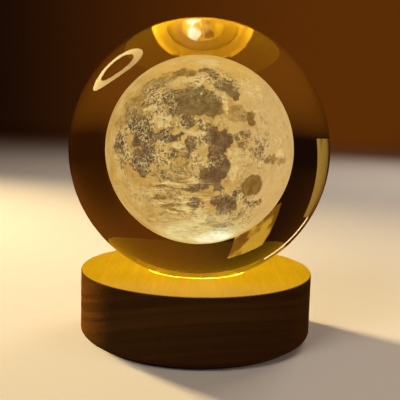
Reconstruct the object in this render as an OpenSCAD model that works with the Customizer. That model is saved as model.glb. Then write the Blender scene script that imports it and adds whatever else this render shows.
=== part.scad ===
// Moon lamp: a solid glass ball with the moon engraved inside it, set on a turned wooden base
// that holds a ring of warm LEDs under the ball.
// Millimetres. The origin is the centre of the rest face, +Z is up, -Y is the front,
// and the power inlet is at the back, +Y.

/* [Glass ball] */
// Diameter of the glass ball
ball_d = 80; // [70:1:100]
// Real diameter of the engraved moon inside the glass
moon_d = 38.3; // [30:0.1:44]
// How much lower the floors of the seas lie than the highlands
sea_depth = 0.22; // [0.1:0.01:0.4]
// Number of small craters all over the moon
crater_count = 34; // [0:1:60]
// Radius of the largest small crater
crater_r = 1.0; // [0.6:0.05:1.4]
// Gap between the moon's surface and the hollow that it lies in
moon_clear = 0.05; // [0.03:0.01:0.1]

/* [Wooden base] */
// Diameter of the wooden base
base_d = 72; // [70:1:90]
// Height of the wooden base
base_h = 20; // [19:0.5:30]
// Rounding of the base's lower edge
lower_edge_r = 2; // [1:0.1:2.5]
// Rounding of the base's upper edge
upper_edge_r = 0.5; // [0.3:0.1:1.5]

/* [Seat] */
// Diameter of the seat's mouth in the top of the base
seat_d = 32.4; // [31:0.1:34]
// Gap between the ball and the edge of the seat's mouth
seat_gap = 0.7; // [0.4:0.05:1]
// Width of the soft ring that the ball rests on
ring_w = 2.6; // [2:0.1:3]
// Gap between the soft ring and what it touches
ring_gap = 0.2; // [0.1:0.05:0.3]

/* [Light well] */
// Gap between the window and the lowest point of the ball
window_gap = 0.4; // [0.3:0.1:1]
// Thickness of the clear window
window_t = 1.2; // [1:0.1:2]
// Diameter of the clear window
window_d = 26.4; // [25.4:0.1:27]
// Gap all round a round piece that drops into a bore
drop_in_gap = 0.1; // [0.05:0.01:0.2]
// Diameter of the LED board
board_d = 24; // [22.8:0.1:24.6]
// Thickness of the LED board
board_t = 1.2; // [1:0.1:1.6]
// Air above the LEDs
led_air = 0.6; // [0.5:0.1:1]
// Diameter of the wire hole from the pocket to the light well
wire_hole_d = 3.2; // [3:0.1:3.6]

/* [LEDs] */
// Number of LEDs on the board
led_count = 4; // [3:1:4]
// Side of one LED
led_size = 5; // [4.4:0.1:5.2]
// Height of one LED
led_h = 1.6; // [1.4:0.1:2]
// Radius of the circle that the LEDs stand on
led_circle_r = 6.6; // [6.5:0.1:7.2]
// Diameter of the yellow light spot in one LED
spot_d = 4; // [3:0.1:4.2]
// Depth of the cup that holds the light spot
spot_t = 0.5; // [0.3:0.1:0.8]
// How far the board is turned in its well
board_turn = -16; // [-40:1:40]

/* [Small parts] */
// Length of an LED board resistor
resistor_l = 3.2; // [3:0.1:3.4]
// Width of an LED board resistor
resistor_w = 1.6; // [1.2:0.1:1.8]
// Height of an LED board resistor
resistor_h = 0.55; // [0.4:0.05:0.8]
// Length of an inlet board resistor
chip_l = 1.6; // [1.2:0.1:2]
// Diameter of a lead over its insulation
lead_d = 0.9; // [0.7:0.05:1]
// Distance between the two leads where they rise through the base
lead_pitch = 1.5; // [1.4:0.1:1.8]
// Diameter of a solder joint
solder_d = 1.8; // [1.4:0.1:2]
// Height of a solder joint
solder_h = 0.8; // [0.6:0.05:1]

/* [Pocket] */
// Diameter of the pocket bored in the underside
pocket_d = 40; // [38:1:44]
// Depth of the pocket above the cover
pocket_h = 5.4; // [5:0.1:6]

/* [Power inlet] */
// Width of the recess that takes the plug's body
recess_w = 12.9; // [12.5:0.1:14]
// Height of the recess that takes the plug's body
recess_h = 7; // [6.6:0.1:7.2]
// Depth of the recess, from the base's side to its floor
recess_depth = 5.5; // [4.5:0.1:6.5]
// Wood left between the bottom cover and the recess
recess_floor = 1.1; // [0.9:0.1:1.5]
// Width of the inlet's metal shell
shell_w = 8.94; // [8.6:0.01:9.2]
// Height of the inlet's metal shell
shell_h = 3.16; // [3:0.01:3.3]
// Length of the inlet's metal shell
shell_l = 7.3; // [6.8:0.1:8]
// Thickness of the shell's metal
shell_t = 0.3; // [0.2:0.05:0.4]
// Gap between the shell and the wood round it
shell_gap = 0.25; // [0.2:0.05:0.3]
// Width of the tongue inside the inlet
tongue_w = 6.69; // [6.2:0.01:6.9]
// Thickness of the tongue
tongue_t = 0.7; // [0.6:0.05:0.8]
// How far the tongue's tip lies behind the shell's mouth
tongue_back = 0.9; // [0.6:0.1:1.4]
// Width of the inlet's board
inlet_board_w = 14; // [13.4:0.1:15]
// Length of the inlet's board
inlet_board_l = 14.5; // [14:0.1:15]
// Thickness of the inlet's board
inlet_board_t = 0.8; // [0.6:0.1:1]
// Wood left between the inlet's board and the recess
inlet_wall = 1.2; // [1:0.1:1.6]
// Gap between the inlet's board and its slot
slot_gap = 0.5; // [0.3:0.1:0.8]

/* [Cover and foot pad] */
// Thickness of the foot pad
pad_t = 1.2; // [1:0.1:2]
// How far the foot pad's rim lies inside the base's side
pad_inset = 3; // [2.6:0.1:4]
// How far the bottom cover's rim lies inside the base's side
cover_inset = 4.7; // [4.5:0.1:5.5]
// Thickness of the bottom cover
cover_t = 1.6; // [1.4:0.1:2]
// Gap between the bottom cover and the rebate round it
cover_gap = 0.2; // [0.1:0.05:0.3]
// Number of cover screws
cover_screw_count = 3; // [3:1:3]

/* [Screws] */
// Diameter of a screw's shank
screw_d = 2; // [1.8:0.1:2.2]
// Diameter of a screw's head
screw_head_d = 3.6; // [3.4:0.1:3.8]
// Height of a screw's head
screw_head_h = 1.1; // [0.9:0.05:1.2]
// Length of a cover screw, head included
cover_screw_l = 7; // [6:0.5:8]
// Length of an inlet board screw under its head
inlet_screw_l = 5; // [4:0.5:5.5]
// Length of an LED board screw under its head
board_screw_l = 3.6; // [3:0.1:4]
// Gap between a screw and the hole it stands in
screw_gap = 0.05; // [0.03:0.01:0.1]

/* [Hidden] */
$fn = 96;
eps = 0.01;              // overrun that makes a cut pass a face

ball_r = ball_d / 2;
moon_r = moon_d / 2;
base_r = base_d / 2;
seat_r = seat_d / 2;
ball_mouth_r = seat_r - seat_gap;                 // the ball's own radius level with the wood's top
ball_sink = ball_r - sqrt(pow(ball_r, 2) - pow(ball_mouth_r, 2));

// Heights, from the rest face upwards
base_z = pad_t;
cover_top_z = base_z + cover_t;
pocket_top_z = cover_top_z + pocket_h;
top_z = base_z + base_h;
ball_low_z = top_z - ball_sink;
ball_z = ball_low_z + ball_r;
ledge_z = ball_low_z - window_gap;                // the ring and the window meet the wood here
window_z = ledge_z - window_t;
led_top_z = window_z - led_air;
board_top_z = led_top_z - led_h;
board_z = board_top_z - board_t;
inlet_z = cover_top_z + recess_floor + recess_h / 2;
shell_seat = 0.02;                                // the shell lies this close under its board
lead_seat = 0.02;                                 // a lead ends this close to its solder joint
lead_lift = 0.05;                                 // the leads run this high over the LED board
inlet_board_z = inlet_z + shell_h / 2 + shell_seat;
slot_top_z = inlet_board_z + inlet_board_t;

// Plan sizes
board_screw_edge = 0.4;                           // from a board screw's head to the board's rim
board_solder_shift = 0.7;                         // from an LED's inner side to a solder joint's middle
inlet_solder_edge = 0.4;                          // from a solder joint to the inlet board's end
inlet_screw_edge = 0.6;                           // from an inlet screw's head to the board's side
inlet_screw_space = 1.4;                          // from an inlet screw's head to the metal shell
cover_screw_shift = 0.8;                          // from the middle of the covered rim outwards
pad_r = base_r - pad_inset;
cover_r = base_r - cover_inset;
recess_y = base_r - recess_depth;                 // the recess's floor
ring_out_r = seat_r - ring_gap;
ring_in_r = ring_out_r - ring_w;
window_bore_r = window_d / 2 + drop_in_gap;
chamber_r = board_d / 2 + drop_in_gap;
wire_hole_r = wire_hole_d / 2;
slot_w = inlet_board_w + 2 * slot_gap;
slot_end_y = recess_y - inlet_wall;
inlet_board_end_y = slot_end_y - slot_gap / 2;
inlet_board_start_y = inlet_board_end_y - inlet_board_l;
shell_back_y = recess_y - shell_l;
board_screw_r = board_d / 2 - screw_head_d / 2 - board_screw_edge;
resistor_r = led_circle_r + led_size / 2;
solder_r = led_circle_r - led_size / 2 + board_solder_shift;
inlet_solder_x = inlet_board_w / 7;
inlet_solder_y = inlet_board_start_y + solder_d / 2 + inlet_solder_edge;
inlet_screw_x = inlet_board_w / 2 - screw_head_d / 2 - inlet_screw_edge;
inlet_screw_y = shell_back_y - screw_head_d / 2 - inlet_screw_space;
lead_run_z = pocket_top_z - lead_d;               // height of the leads across the pocket
lead_top_z = board_top_z + lead_d / 2 + lead_lift;
cover_screw_r = (pocket_d / 2 + cover_r) / 2 + cover_screw_shift;
cover_screw_turn = 30;                            // keeps the cover screws clear of the inlet

// The moon's seas: degrees east and north of the middle of the face, and radius in degrees
SEAS = [
    [-6, 39, 13],      // great northern plain, middle
    [-22, 38, 8.5],    // great northern plain, west lobe
    [9, 34, 7.5],      // great northern plain, east lobe
    [12, 12, 8.5],     // central plain, north
    [15, 3, 7.5],      // central plain, south
    [9, -13, 10.5],    // southern plain
    [42, -21, 8.5],    // lone round sea in the east
    [23, -36, 10],     // south-eastern sea
    [-6, 5, 4.8],      // small central bay
    [7, 68, 4.6],      // northern arc, west
    [18, 62, 4.8],     // northern arc, middle
    [27, 52, 5.6],     // northern arc, east
    [34, 44, 5],       // northern arc, south
    [-47, 18, 8.5],    // western ocean, north
    [-46, 7, 7.2],     // western ocean, middle
    [-34, 10, 6.2],    // western ocean, east
    [-45, -8, 7.5],    // western ocean, south
    [-67, 4, 6.2],     // sea at the western limb
    [-3, -37, 5.6],    // southern bay
    [36, -59, 7.2],    // far southern sea
    [41, 25, 4.6]      // small eastern sea
];

// ---- Shared shapes ----

// A disc with a small rounding on both rims
module soft_disc(r, h, edge) {
    rotate_extrude() {
        square([r - edge, h]);
        translate([0, edge]) square([r, h - 2 * edge]);
        translate([r - edge, edge]) circle(r = edge, $fn = 32);
        translate([r - edge, h - edge]) circle(r = edge, $fn = 32);
    }
}

// A flat bar with round ends, w wide along X, h high along Z and l long from y = 0 along +Y
module round_ended_bar(w, h, l) {
    rotate([-90, 0, 0])
        linear_extrude(height = l) {
            square([w - h, h], center = true);
            for (side = [-1, 1])
                translate([side * (w - h) / 2, 0]) circle(r = h / 2);
        }
}

// Cross recess cut into a screw head whose face is at z = 0, cut upwards
module cross_recess() {
    for (turn = [0, 90])
        rotate(turn)
            translate([-screw_head_d / 3, -0.25, -eps])
                cube([screw_head_d / 1.5, 0.5, screw_head_h / 2]);
}

// A flat-headed screw with its head's face at z = 0 and its tip up
module flat_screw(l) {
    difference() {
        union() {
            cylinder(r1 = screw_head_d / 2, r2 = screw_d / 2, h = screw_head_h);
            cylinder(r = screw_d / 2, h = l - screw_d / 2);
            translate([0, 0, l - screw_d / 2])
                cylinder(r1 = screw_d / 2, r2 = 0.1, h = screw_d / 2);
        }
        cross_recess();
    }
}

// A round-headed screw seated at z = 0, with its head below and its tip up
module pan_screw(l) {
    difference() {
        union() {
            translate([0, 0, -screw_head_h])
                soft_disc(screw_head_d / 2, screw_head_h, 0.3);
            translate([0, 0, -eps])
                cylinder(r = screw_d / 2, h = l - screw_d / 2 + eps);
            translate([0, 0, l - screw_d / 2])
                cylinder(r1 = screw_d / 2, r2 = 0.1, h = screw_d / 2);
        }
        translate([0, 0, -screw_head_h]) cross_recess();
    }
}

// The hole that a screw stands in
module screw_hole(l) {
    translate([0, 0, -eps])
        cylinder(r = screw_d / 2 + screw_gap, h = l + screw_gap + eps);
}

module at_cover_screws() {
    for (i = [0 : cover_screw_count - 1])
        rotate(cover_screw_turn + i * 360 / cover_screw_count)
            translate([cover_screw_r, 0, base_z])
                children();
}

module at_board_screws() {
    for (side = [0, 180])
        rotate(board_turn + side)
            translate([board_screw_r, 0, board_top_z])
                rotate([180, 0, 0])
                    children();
}

module at_inlet_screws() {
    for (side = [-1, 1])
        translate([side * inlet_screw_x, inlet_screw_y, inlet_board_z])
            children();
}

module at_leds() {
    for (i = [0 : led_count - 1])
        rotate(board_turn + (i - 0.5) * 360 / led_count)
            translate([led_circle_r, 0, board_top_z])
                children();
}

function unit(v) = v / norm(v);

// A path whose inner corners are rounded off, each starting its curve at the given distance
function rounded_path(p, reach, steps = 5) = [
    p[0],
    for (i = [1 : len(p) - 2])
        let(
            from = p[i] + reach * unit(p[i - 1] - p[i]),
            to = p[i] + reach * unit(p[i + 1] - p[i])
        )
        for (k = [0 : steps])
            let(t = k / steps)
            pow(1 - t, 2) * from + 2 * t * (1 - t) * p[i] + pow(t, 2) * to,
    p[len(p) - 1]
];

// The way that a path runs at each of its points
function path_runs(p) = [
    for (i = [0 : len(p) - 1])
        unit(p[min(i + 1, len(p) - 1)] - p[max(i - 1, 0)])
];

// One direction across the path at each point, turned as little as can be from the last
function path_sides(runs, side, i = 0) =
    i == len(runs) ? [] :
    let(here = unit(side - (side * runs[i]) * runs[i]))
    concat([here], path_sides(runs, here, i + 1));

// A tube of diameter d along a path, with flat ends
module tube(path, d, faces = 10) {
    runs = path_runs(path);
    sides = path_sides(runs, [1, 0.2, 0.1]);
    last = len(path) - 1;
    skin = [
        for (i = [0 : last])
            for (k = [0 : faces - 1])
                let(a = 360 * k / faces)
                path[i] + d / 2 * (cos(a) * sides[i] + sin(a) * cross(runs[i], sides[i]))
    ];
    walls = [
        for (i = [0 : last - 1])
            for (k = [0 : faces - 1])
                let(n = (k + 1) % faces)
                [i * faces + k, (i + 1) * faces + k, (i + 1) * faces + n, i * faces + n]
    ];
    start_cap = [for (k = [0 : faces - 1]) k];
    end_cap = [for (k = [0 : faces - 1]) last * faces + faces - 1 - k];
    polyhedron(points = skin, faces = concat(walls, [start_cap, end_cap]), convexity = 6);
}

// Corners of one lead, from its joint on the inlet board to its joint on the LED board
function lead_corners(side) = let(
    riser = [side * lead_pitch / 2 * cos(board_turn), side * lead_pitch / 2 * sin(board_turn)],
    pad = [side * solder_r * cos(board_turn), side * solder_r * sin(board_turn)]
) [
    [side * inlet_solder_x, inlet_solder_y, inlet_board_z - solder_h - lead_seat],
    [side * inlet_solder_x, inlet_solder_y, lead_run_z],
    [riser[0], riser[1], lead_run_z],
    [riser[0], riser[1], lead_top_z],
    [pad[0], pad[1], lead_top_z]
];

module lead(side) {
    drop = inlet_board_z - solder_h - lead_seat - lead_run_z;
    tube(rounded_path(lead_corners(side), 0.9 * min(lead_d, drop)), lead_d);
}

// ---- Glass ball ----

module crystal_ball() {
    color([0.92, 0.95, 0.96, 0.35])
        translate([0, 0, ball_z])
            difference() {
                sphere(r = ball_r);
                sphere(r = moon_r + moon_clear);
            }
}

// A round plug through the moon's skin, as wide as one sea
module sea_plug(east, north, radius) {
    plug_h = moon_r * (1 - cos(radius)) + sea_depth + 1;
    rotate([90 - north, 0, east])
        translate([0, 0, moon_r + 0.5 - plug_h])
            cylinder(r = moon_r * sin(radius), h = plug_h);
}

module craters() {
    golden_turn = 137.508;
    for (i = [0 : 1 : crater_count - 1]) {
        up = 1 - 2 * (i + 0.5) / crater_count;
        size = crater_r * (0.45 + 0.55 * abs(sin(i * 73)));
        rotate([acos(up), 0, i * golden_turn])
            translate([0, 0, moon_r + size * 0.55])
                sphere(r = size * 0.9, $fn = 32);
    }
}

module engraved_moon() {
    color([0.86, 0.76, 0.55])
        translate([0, 0, ball_z])
            difference() {
                union() {
                    sphere(r = moon_r - sea_depth);
                    difference() {
                        sphere(r = moon_r);
                        for (sea = SEAS) sea_plug(sea[0], sea[1], sea[2]);
                    }
                }
                craters();
            }
}

// ---- Wooden base ----

// The outside of the wood, turned on a lathe
module turned_block() {
    low = lower_edge_r;
    high = upper_edge_r;
    translate([0, 0, base_z])
        rotate_extrude() {
            square([base_r - low, base_h]);
            translate([0, low]) square([base_r, base_h - low - high]);
            translate([0, low]) square([base_r - high, base_h - low]);
            translate([base_r - low, low]) circle(r = low, $fn = 48);
            translate([base_r - high, base_h - high]) circle(r = high, $fn = 32);
        }
}

// The stepped well in the top: seat, window step and LED chamber, and the hole for the leads
module light_well() {
    translate([0, 0, ledge_z])
        cylinder(r = seat_r, h = top_z - ledge_z + 1);
    translate([0, 0, window_z])
        cylinder(r = window_bore_r, h = window_t + 1);
    translate([0, 0, board_z])
        cylinder(r = chamber_r, h = window_z - board_z + 1);
    translate([0, 0, base_z])
        cylinder(r = wire_hole_r, h = board_z - base_z + 1);
}

// The pocket in the underside, its rebate for the cover, and the slot for the inlet's board
module underside_pocket() {
    translate([0, 0, base_z - 1])
        cylinder(r = cover_r + cover_gap, h = cover_t + 1);
    translate([0, 0, base_z])
        cylinder(r = pocket_d / 2, h = pocket_top_z - base_z);
    translate([-slot_w / 2, 0, base_z])
        cube([slot_w, slot_end_y, slot_top_z - base_z]);
}

// The mouth at the back: a recess for the plug's body, and a slot for the metal shell
module inlet_mouth() {
    translate([0, recess_y, inlet_z])
        round_ended_bar(recess_w, recess_h, 2 * recess_depth);
    translate([0, slot_end_y - 1, inlet_z])
        round_ended_bar(shell_w + 2 * shell_gap, shell_h + 2 * shell_gap, inlet_wall + 2);
}

module wood_base() {
    color([0.45, 0.29, 0.16])
        difference() {
            turned_block();
            light_well();
            underside_pocket();
            inlet_mouth();
            at_cover_screws() screw_hole(cover_screw_l);
            at_board_screws() screw_hole(board_screw_l);
            at_inlet_screws() screw_hole(inlet_screw_l);
        }
}

// The soft clear ring that the ball rests on; its top is dished to the ball
module seat_ring() {
    color([0.9, 0.9, 0.85, 0.6])
        difference() {
            translate([0, 0, ledge_z])
                cylinder(r = ring_out_r, h = top_z - ledge_z);
            translate([0, 0, ledge_z - 1])
                cylinder(r = ring_in_r, h = top_z - ledge_z + 2);
            translate([0, 0, ball_z])
                sphere(r = ball_r + ring_gap);
        }
}

// ---- Light ----

module clear_window() {
    color([0.95, 0.95, 0.9, 0.4])
        translate([0, 0, window_z])
            soft_disc(window_d / 2, window_t, 0.15);
}

module led_board() {
    color([0.93, 0.93, 0.9])
        difference() {
            translate([0, 0, board_z]) cylinder(r = board_d / 2, h = board_t);
            translate([0, 0, board_z - 1]) cylinder(r = wire_hole_r, h = board_t + 2);
            at_board_screws() screw_hole(board_screw_l);
        }
}

module led_bodies() {
    color([0.96, 0.95, 0.88])
        at_leds()
            difference() {
                translate([-led_size / 2, -led_size / 2, 0])
                    cube([led_size, led_size, led_h]);
                translate([0, 0, led_h - spot_t])
                    cylinder(r = spot_d / 2, h = spot_t + 1);
            }
}

module led_light_spots() {
    spot_gap = 0.03;
    color([1, 0.78, 0.25])
        at_leds()
            translate([0, 0, led_h - spot_t])
                cylinder(r = spot_d / 2 - spot_gap, h = spot_t - spot_gap);
}

module led_resistors() {
    color([0.12, 0.12, 0.12])
        for (side = [90, 270])
            rotate(board_turn + side)
                translate([resistor_r, 0, board_top_z + resistor_h / 2])
                    cube([resistor_w, resistor_l, resistor_h], center = true);
}

module led_board_screws() {
    color([0.75, 0.75, 0.76])
        at_board_screws() pan_screw(board_screw_l);
}

// ---- Wiring ----

// A blob of solder on a board's face at z = 0, with a flat top where the lead ends
module solder_blob(h) {
    cylinder(r1 = solder_d / 2, r2 = lead_d / 2 + 0.1, h = h);
}

module solder_joints() {
    color([0.78, 0.79, 0.8])
        for (side = [-1, 1]) {
            rotate(board_turn)
                translate([side * (solder_r + lead_d), 0, board_top_z])
                    solder_blob(solder_h);
            translate([side * inlet_solder_x, inlet_solder_y, inlet_board_z])
                rotate([180, 0, 0])
                    solder_blob(solder_h);
        }
}

module lead_positive() {
    color([0.75, 0.1, 0.08])
        lead(1);
}

module lead_negative() {
    color([0.08, 0.08, 0.08])
        lead(-1);
}

// ---- Power inlet ----

// The four tabs that hold the shell in its board
module at_shell_tabs() {
    for (side = [-1, 1])
        for (y = [shell_back_y + 1.4, recess_y - 2.6])
            translate([side * (shell_w / 2 - shell_t / 2), y, inlet_z])
                children();
}

module inlet_board() {
    tab_slot_w = 0.5;
    tab_slot_l = 1.3;
    color([0.1, 0.35, 0.2])
        difference() {
            translate([-inlet_board_w / 2, inlet_board_start_y, inlet_board_z])
                cube([inlet_board_w, inlet_board_l, inlet_board_t]);
            at_inlet_screws() screw_hole(inlet_screw_l);
            at_shell_tabs()
                translate([-tab_slot_w / 2, -tab_slot_l / 2, 0])
                    cube([tab_slot_w, tab_slot_l, shell_h]);
        }
}

module inlet_shell() {
    tab_l = 1.1;
    tab_top = slot_top_z - inlet_z - 0.05;
    color([0.78, 0.78, 0.8])
        union() {
            translate([0, shell_back_y, inlet_z])
                difference() {
                    round_ended_bar(shell_w, shell_h, shell_l);
                    translate([0, -1, 0])
                        round_ended_bar(shell_w - 2 * shell_t, shell_h - 2 * shell_t, shell_l + 2);
                }
            at_shell_tabs()
                translate([-shell_t / 2, -tab_l / 2, 0])
                    cube([shell_t, tab_l, tab_top]);
        }
}

module inlet_tongue() {
    fit_gap = 0.03;
    block_l = 1.8;
    inner_w = shell_w - 2 * shell_t - 2 * fit_gap;
    inner_h = shell_h - 2 * shell_t - 2 * fit_gap;
    color([0.1, 0.1, 0.1])
        translate([0, shell_back_y + 0.2, inlet_z]) {
            round_ended_bar(inner_w, inner_h, block_l);
            translate([-tongue_w / 2, block_l - eps, -tongue_t / 2])
                cube([tongue_w, shell_l - 0.2 - block_l - tongue_back, tongue_t]);
        }
}

module inlet_resistors() {
    color([0.12, 0.12, 0.12])
        for (side = [-1, 1])
            translate([side * chip_l, inlet_screw_y + 0.6, inlet_board_z - resistor_h / 2])
                cube([chip_l / 2, chip_l, resistor_h], center = true);
}

module inlet_board_screws() {
    color([0.75, 0.75, 0.76])
        at_inlet_screws() pan_screw(inlet_screw_l);
}

// ---- Underside ----

module bottom_cover() {
    color([0.13, 0.13, 0.13])
        difference() {
            translate([0, 0, base_z]) cylinder(r = cover_r, h = cover_t);
            at_cover_screws() {
                screw_hole(cover_screw_l);
                translate([0, 0, -eps])
                    cylinder(
                        r1 = screw_head_d / 2 + screw_gap,
                        r2 = screw_d / 2 + screw_gap,
                        h = screw_head_h + screw_gap
                    );
            }
        }
}

module cover_screws() {
    color([0.75, 0.75, 0.76])
        at_cover_screws() flat_screw(cover_screw_l);
}

module foot_pad() {
    color([0.07, 0.07, 0.07])
        soft_disc(pad_r, pad_t, 0.3);
}

crystal_ball();
engraved_moon();
seat_ring();
wood_base();
clear_window();
led_board();
led_bodies();
led_light_spots();
led_resistors();
led_board_screws();
solder_joints();
lead_positive();
lead_negative();
inlet_board();
inlet_shell();
inlet_tongue();
inlet_resistors();
inlet_board_screws();
bottom_cover();
cover_screws();
foot_pad();
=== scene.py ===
"""Moon lamp: a solid glass ball with a moon engraved inside it, lit from a turned wooden base."""
import math
import random

import bpy
import numpy as np
from mathutils import Matrix, Vector, noise


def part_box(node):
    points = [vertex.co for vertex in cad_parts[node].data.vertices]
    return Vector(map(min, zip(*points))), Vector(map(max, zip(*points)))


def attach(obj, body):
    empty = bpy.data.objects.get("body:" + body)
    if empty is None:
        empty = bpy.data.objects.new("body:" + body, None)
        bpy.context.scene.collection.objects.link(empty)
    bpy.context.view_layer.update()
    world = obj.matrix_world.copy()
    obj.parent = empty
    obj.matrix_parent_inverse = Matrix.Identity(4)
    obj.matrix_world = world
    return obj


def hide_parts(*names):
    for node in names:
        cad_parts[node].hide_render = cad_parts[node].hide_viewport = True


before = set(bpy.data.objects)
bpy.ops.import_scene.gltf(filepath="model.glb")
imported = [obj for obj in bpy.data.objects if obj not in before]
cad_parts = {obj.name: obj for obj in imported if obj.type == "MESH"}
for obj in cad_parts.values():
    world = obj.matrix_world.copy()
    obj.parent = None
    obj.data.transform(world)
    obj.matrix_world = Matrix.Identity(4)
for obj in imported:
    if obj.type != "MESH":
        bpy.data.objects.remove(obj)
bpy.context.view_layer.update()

MM = 0.001

# ---- Sizes, read from the frame ----

ball_low, ball_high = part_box("crystal_ball")
moon_low, moon_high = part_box("engraved_moon")
wood_low, wood_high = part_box("wood_base")
ring_low, ring_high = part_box("seat_ring")

BALL = (ball_low + ball_high) / 2               # the ball's middle, and the moon's
BALL_R = (ball_high.y - ball_low.y) / 2
MOON_R = (moon_high.z - moon_low.z) / 2
WOOD_TOP = wood_high.z
WOOD_R = (wood_high.x - wood_low.x) / 2
SEAT_R = (ring_high.x - ring_low.x) / 2
WINDOW_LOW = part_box("clear_window")[0].z

# Points from pole to pole, and steps round, of the two turned balls
BALL_MESH = (144, 288)
MOON_MESH = (200, 400)


# ---- Camera ----

# The photograph's camera, fitted to the outlines of the ball and of the base
LENS = 60.75                    # millimetres
SENSOR = 36                     # millimetres
DISTANCE = 0.2103               # from the ball's middle
ELEVATION = math.radians(3.05)
AIM_RIGHT = math.radians(0.16)
AIM_DOWN = math.radians(4.21)
ROLL = math.radians(1.55)
NEAREST_SEEN = 0.005


def turned(a, b, angle):
    """Two axes turned in their own plane, the first toward the second."""
    return (
        a * math.cos(angle) + b * math.sin(angle),
        b * math.cos(angle) - a * math.sin(angle),
    )


def make_camera():
    forward = Vector((0, math.cos(ELEVATION), -math.sin(ELEVATION)))
    place = BALL - DISTANCE * forward
    right = Vector((1, 0, 0))
    up = right.cross(forward)
    forward, right = turned(forward, right, AIM_RIGHT)
    forward, up = turned(forward, up, -AIM_DOWN)
    right, up = turned(right, up, ROLL)
    data = bpy.data.cameras.new("photo_camera")
    data.lens = LENS
    data.sensor_width = SENSOR
    data.clip_start = NEAREST_SEEN
    camera = bpy.data.objects.new("photo_camera", data)
    camera.matrix_world = Matrix((
        (right.x, up.x, -forward.x, place.x),
        (right.y, up.y, -forward.y, place.y),
        (right.z, up.z, -forward.z, place.z),
        (0, 0, 0, 1),
    ))
    bpy.context.scene.collection.objects.link(camera)
    bpy.context.scene.camera = camera


# ---- Nodes of a material ----

class Nodes:
    """Makes shader nodes in one tree and links them."""

    def __init__(self, tree):
        self.tree = tree

    def add(self, kind, settings=None, inputs=None):
        made = self.tree.nodes.new("ShaderNode" + kind)
        for key, value in (settings or {}).items():
            setattr(made, key, value)
        for key, value in (inputs or {}).items():
            self.put(made.inputs[key], value)
        return made

    def put(self, socket, value):
        if isinstance(value, bpy.types.NodeSocket):
            self.tree.links.new(value, socket)
        else:
            socket.default_value = value

    def place(self):
        return self.add("TexCoord").outputs["Object"]

    def field(self, name):
        """A number stored at each point of the mesh."""
        return self.add("Attribute", {"attribute_name": name}).outputs["Fac"]

    def math(self, operation, a, b=0.0, c=0.0):
        return self.add("Math", {"operation": operation}, {0: a, 1: b, 2: c}).outputs[0]

    def times(self, *values):
        product = values[0]
        for value in values[1:]:
            product = self.math("MULTIPLY", product, value)
        return product

    def total(self, *values):
        total = values[0]
        for value in values[1:]:
            total = self.math("ADD", total, value)
        return total

    def scaled(self, value, factor, plus):
        return self.math("MULTIPLY_ADD", value, factor, plus)

    def about(self, value, amount):
        """A noise round its middle, 0.5, times an amount."""
        return self.scaled(value, amount, -0.5 * amount)

    def vector(self, operation, a, b=(0, 0, 0)):
        made = self.add("VectorMath", {"operation": operation}, {0: a, 1: b})
        gives_number = operation in ("LENGTH", "DOT_PRODUCT")
        return made.outputs["Value" if gives_number else "Vector"]

    def axes(self, at):
        return self.add("SeparateXYZ", None, {0: at}).outputs

    def point(self, x, y, z=0.0):
        return self.add("CombineXYZ", None, {0: x, 1: y, 2: z}).outputs[0]

    def radius(self, x, y):
        return self.vector("LENGTH", self.point(x, y))

    def step(self, value, low, high, to_low=0.0, to_high=1.0, smooth=True):
        made = self.add("MapRange", {"interpolation_type": "SMOOTHSTEP" if smooth else "LINEAR"}, {
            "Value": value, "From Min": low, "From Max": high,
            "To Min": to_low, "To Max": to_high,
        })
        return made.outputs["Result"]

    def between(self, value, low, full_low, full_high, high):
        """1 between the two middle limits, fading to 0 at the outer ones."""
        return self.times(self.step(value, low, full_low), self.step(value, high, full_high))

    def mix(self, share, a, b):
        made = self.add("Mix", {"data_type": "RGBA"})
        self.put(made.inputs[0], share)
        for socket, tone in ((made.inputs[6], a), (made.inputs[7], b)):
            self.put(socket, tone if isinstance(tone, bpy.types.NodeSocket) else (*tone, 1))
        return made.outputs[2]

    def noise(self, at, scale, detail=2.0, roughness=0.5, distortion=0.0, output=0):
        made = self.add("TexNoise", None, {
            "Vector": at, "Scale": scale, "Detail": detail,
            "Roughness": roughness, "Distortion": distortion,
        })
        return made.outputs[output]

    def stretched(self, at, scale):
        return self.add("Mapping", None, {"Vector": at, "Scale": scale}).outputs["Vector"]

    def bump(self, height, distance, strength):
        made = self.add("Bump", None, {
            "Height": height, "Distance": distance, "Strength": strength,
        })
        return made.outputs["Normal"]


def new_material(name):
    """A material with a Principled shader; gives the material, its Nodes and the shader."""
    material = bpy.data.materials.new(name)
    material.use_nodes = True
    nodes = Nodes(material.node_tree)
    shader = material.node_tree.nodes["Principled BSDF"]
    return material, nodes, shader


def finish_of(nodes, shader, **sockets):
    for name, value in sockets.items():
        socket = shader.inputs[name.replace("_", " ")]
        if isinstance(value, tuple) and len(value) == 3 and socket.type == "RGBA":
            value = (*value, 1)
        nodes.put(socket, value)


def dress(piece, material):
    piece.data.materials.clear()
    piece.data.materials.append(material)


# ---- Clear and lit materials ----

GLASS_INDEX = 1.517
ACRYLIC_INDEX = 1.49

# The wood's tones are set dark: partly its own colour, partly painted shade of its unlit side
WOOD_RINGS = ((0.029, 0.0104, 0.0010), (0.048, 0.0176, 0.0018))
WOOD_FIBRE = (0.046, 0.0172, 0.0018)
WOOD_PORE = (0.014, 0.0052, 0.0008)
PITH_X, PITH_Z = 8 * MM, -70 * MM         # the middle of the tree's rings

WOOD_GLOW = (0.68, 0.335, 0.003)          # the LEDs' light on the wood's top
WOOD_GLOW_FRONT = (0.665, 0.335, 0.024)
WELL_GLOW = (1.0, 0.465, 0.012)           # and in the well under the ball
DIM_GLOW = (1.0, 0.56, 0.015)             # the two LEDs on the left
WHITE_HOT = (1.0, 0.90, 0.62)             # the two on the right
HOT_LED = 150.0                           # strengths of the white-hot glow
HOT_SPILL = 120.0

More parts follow.
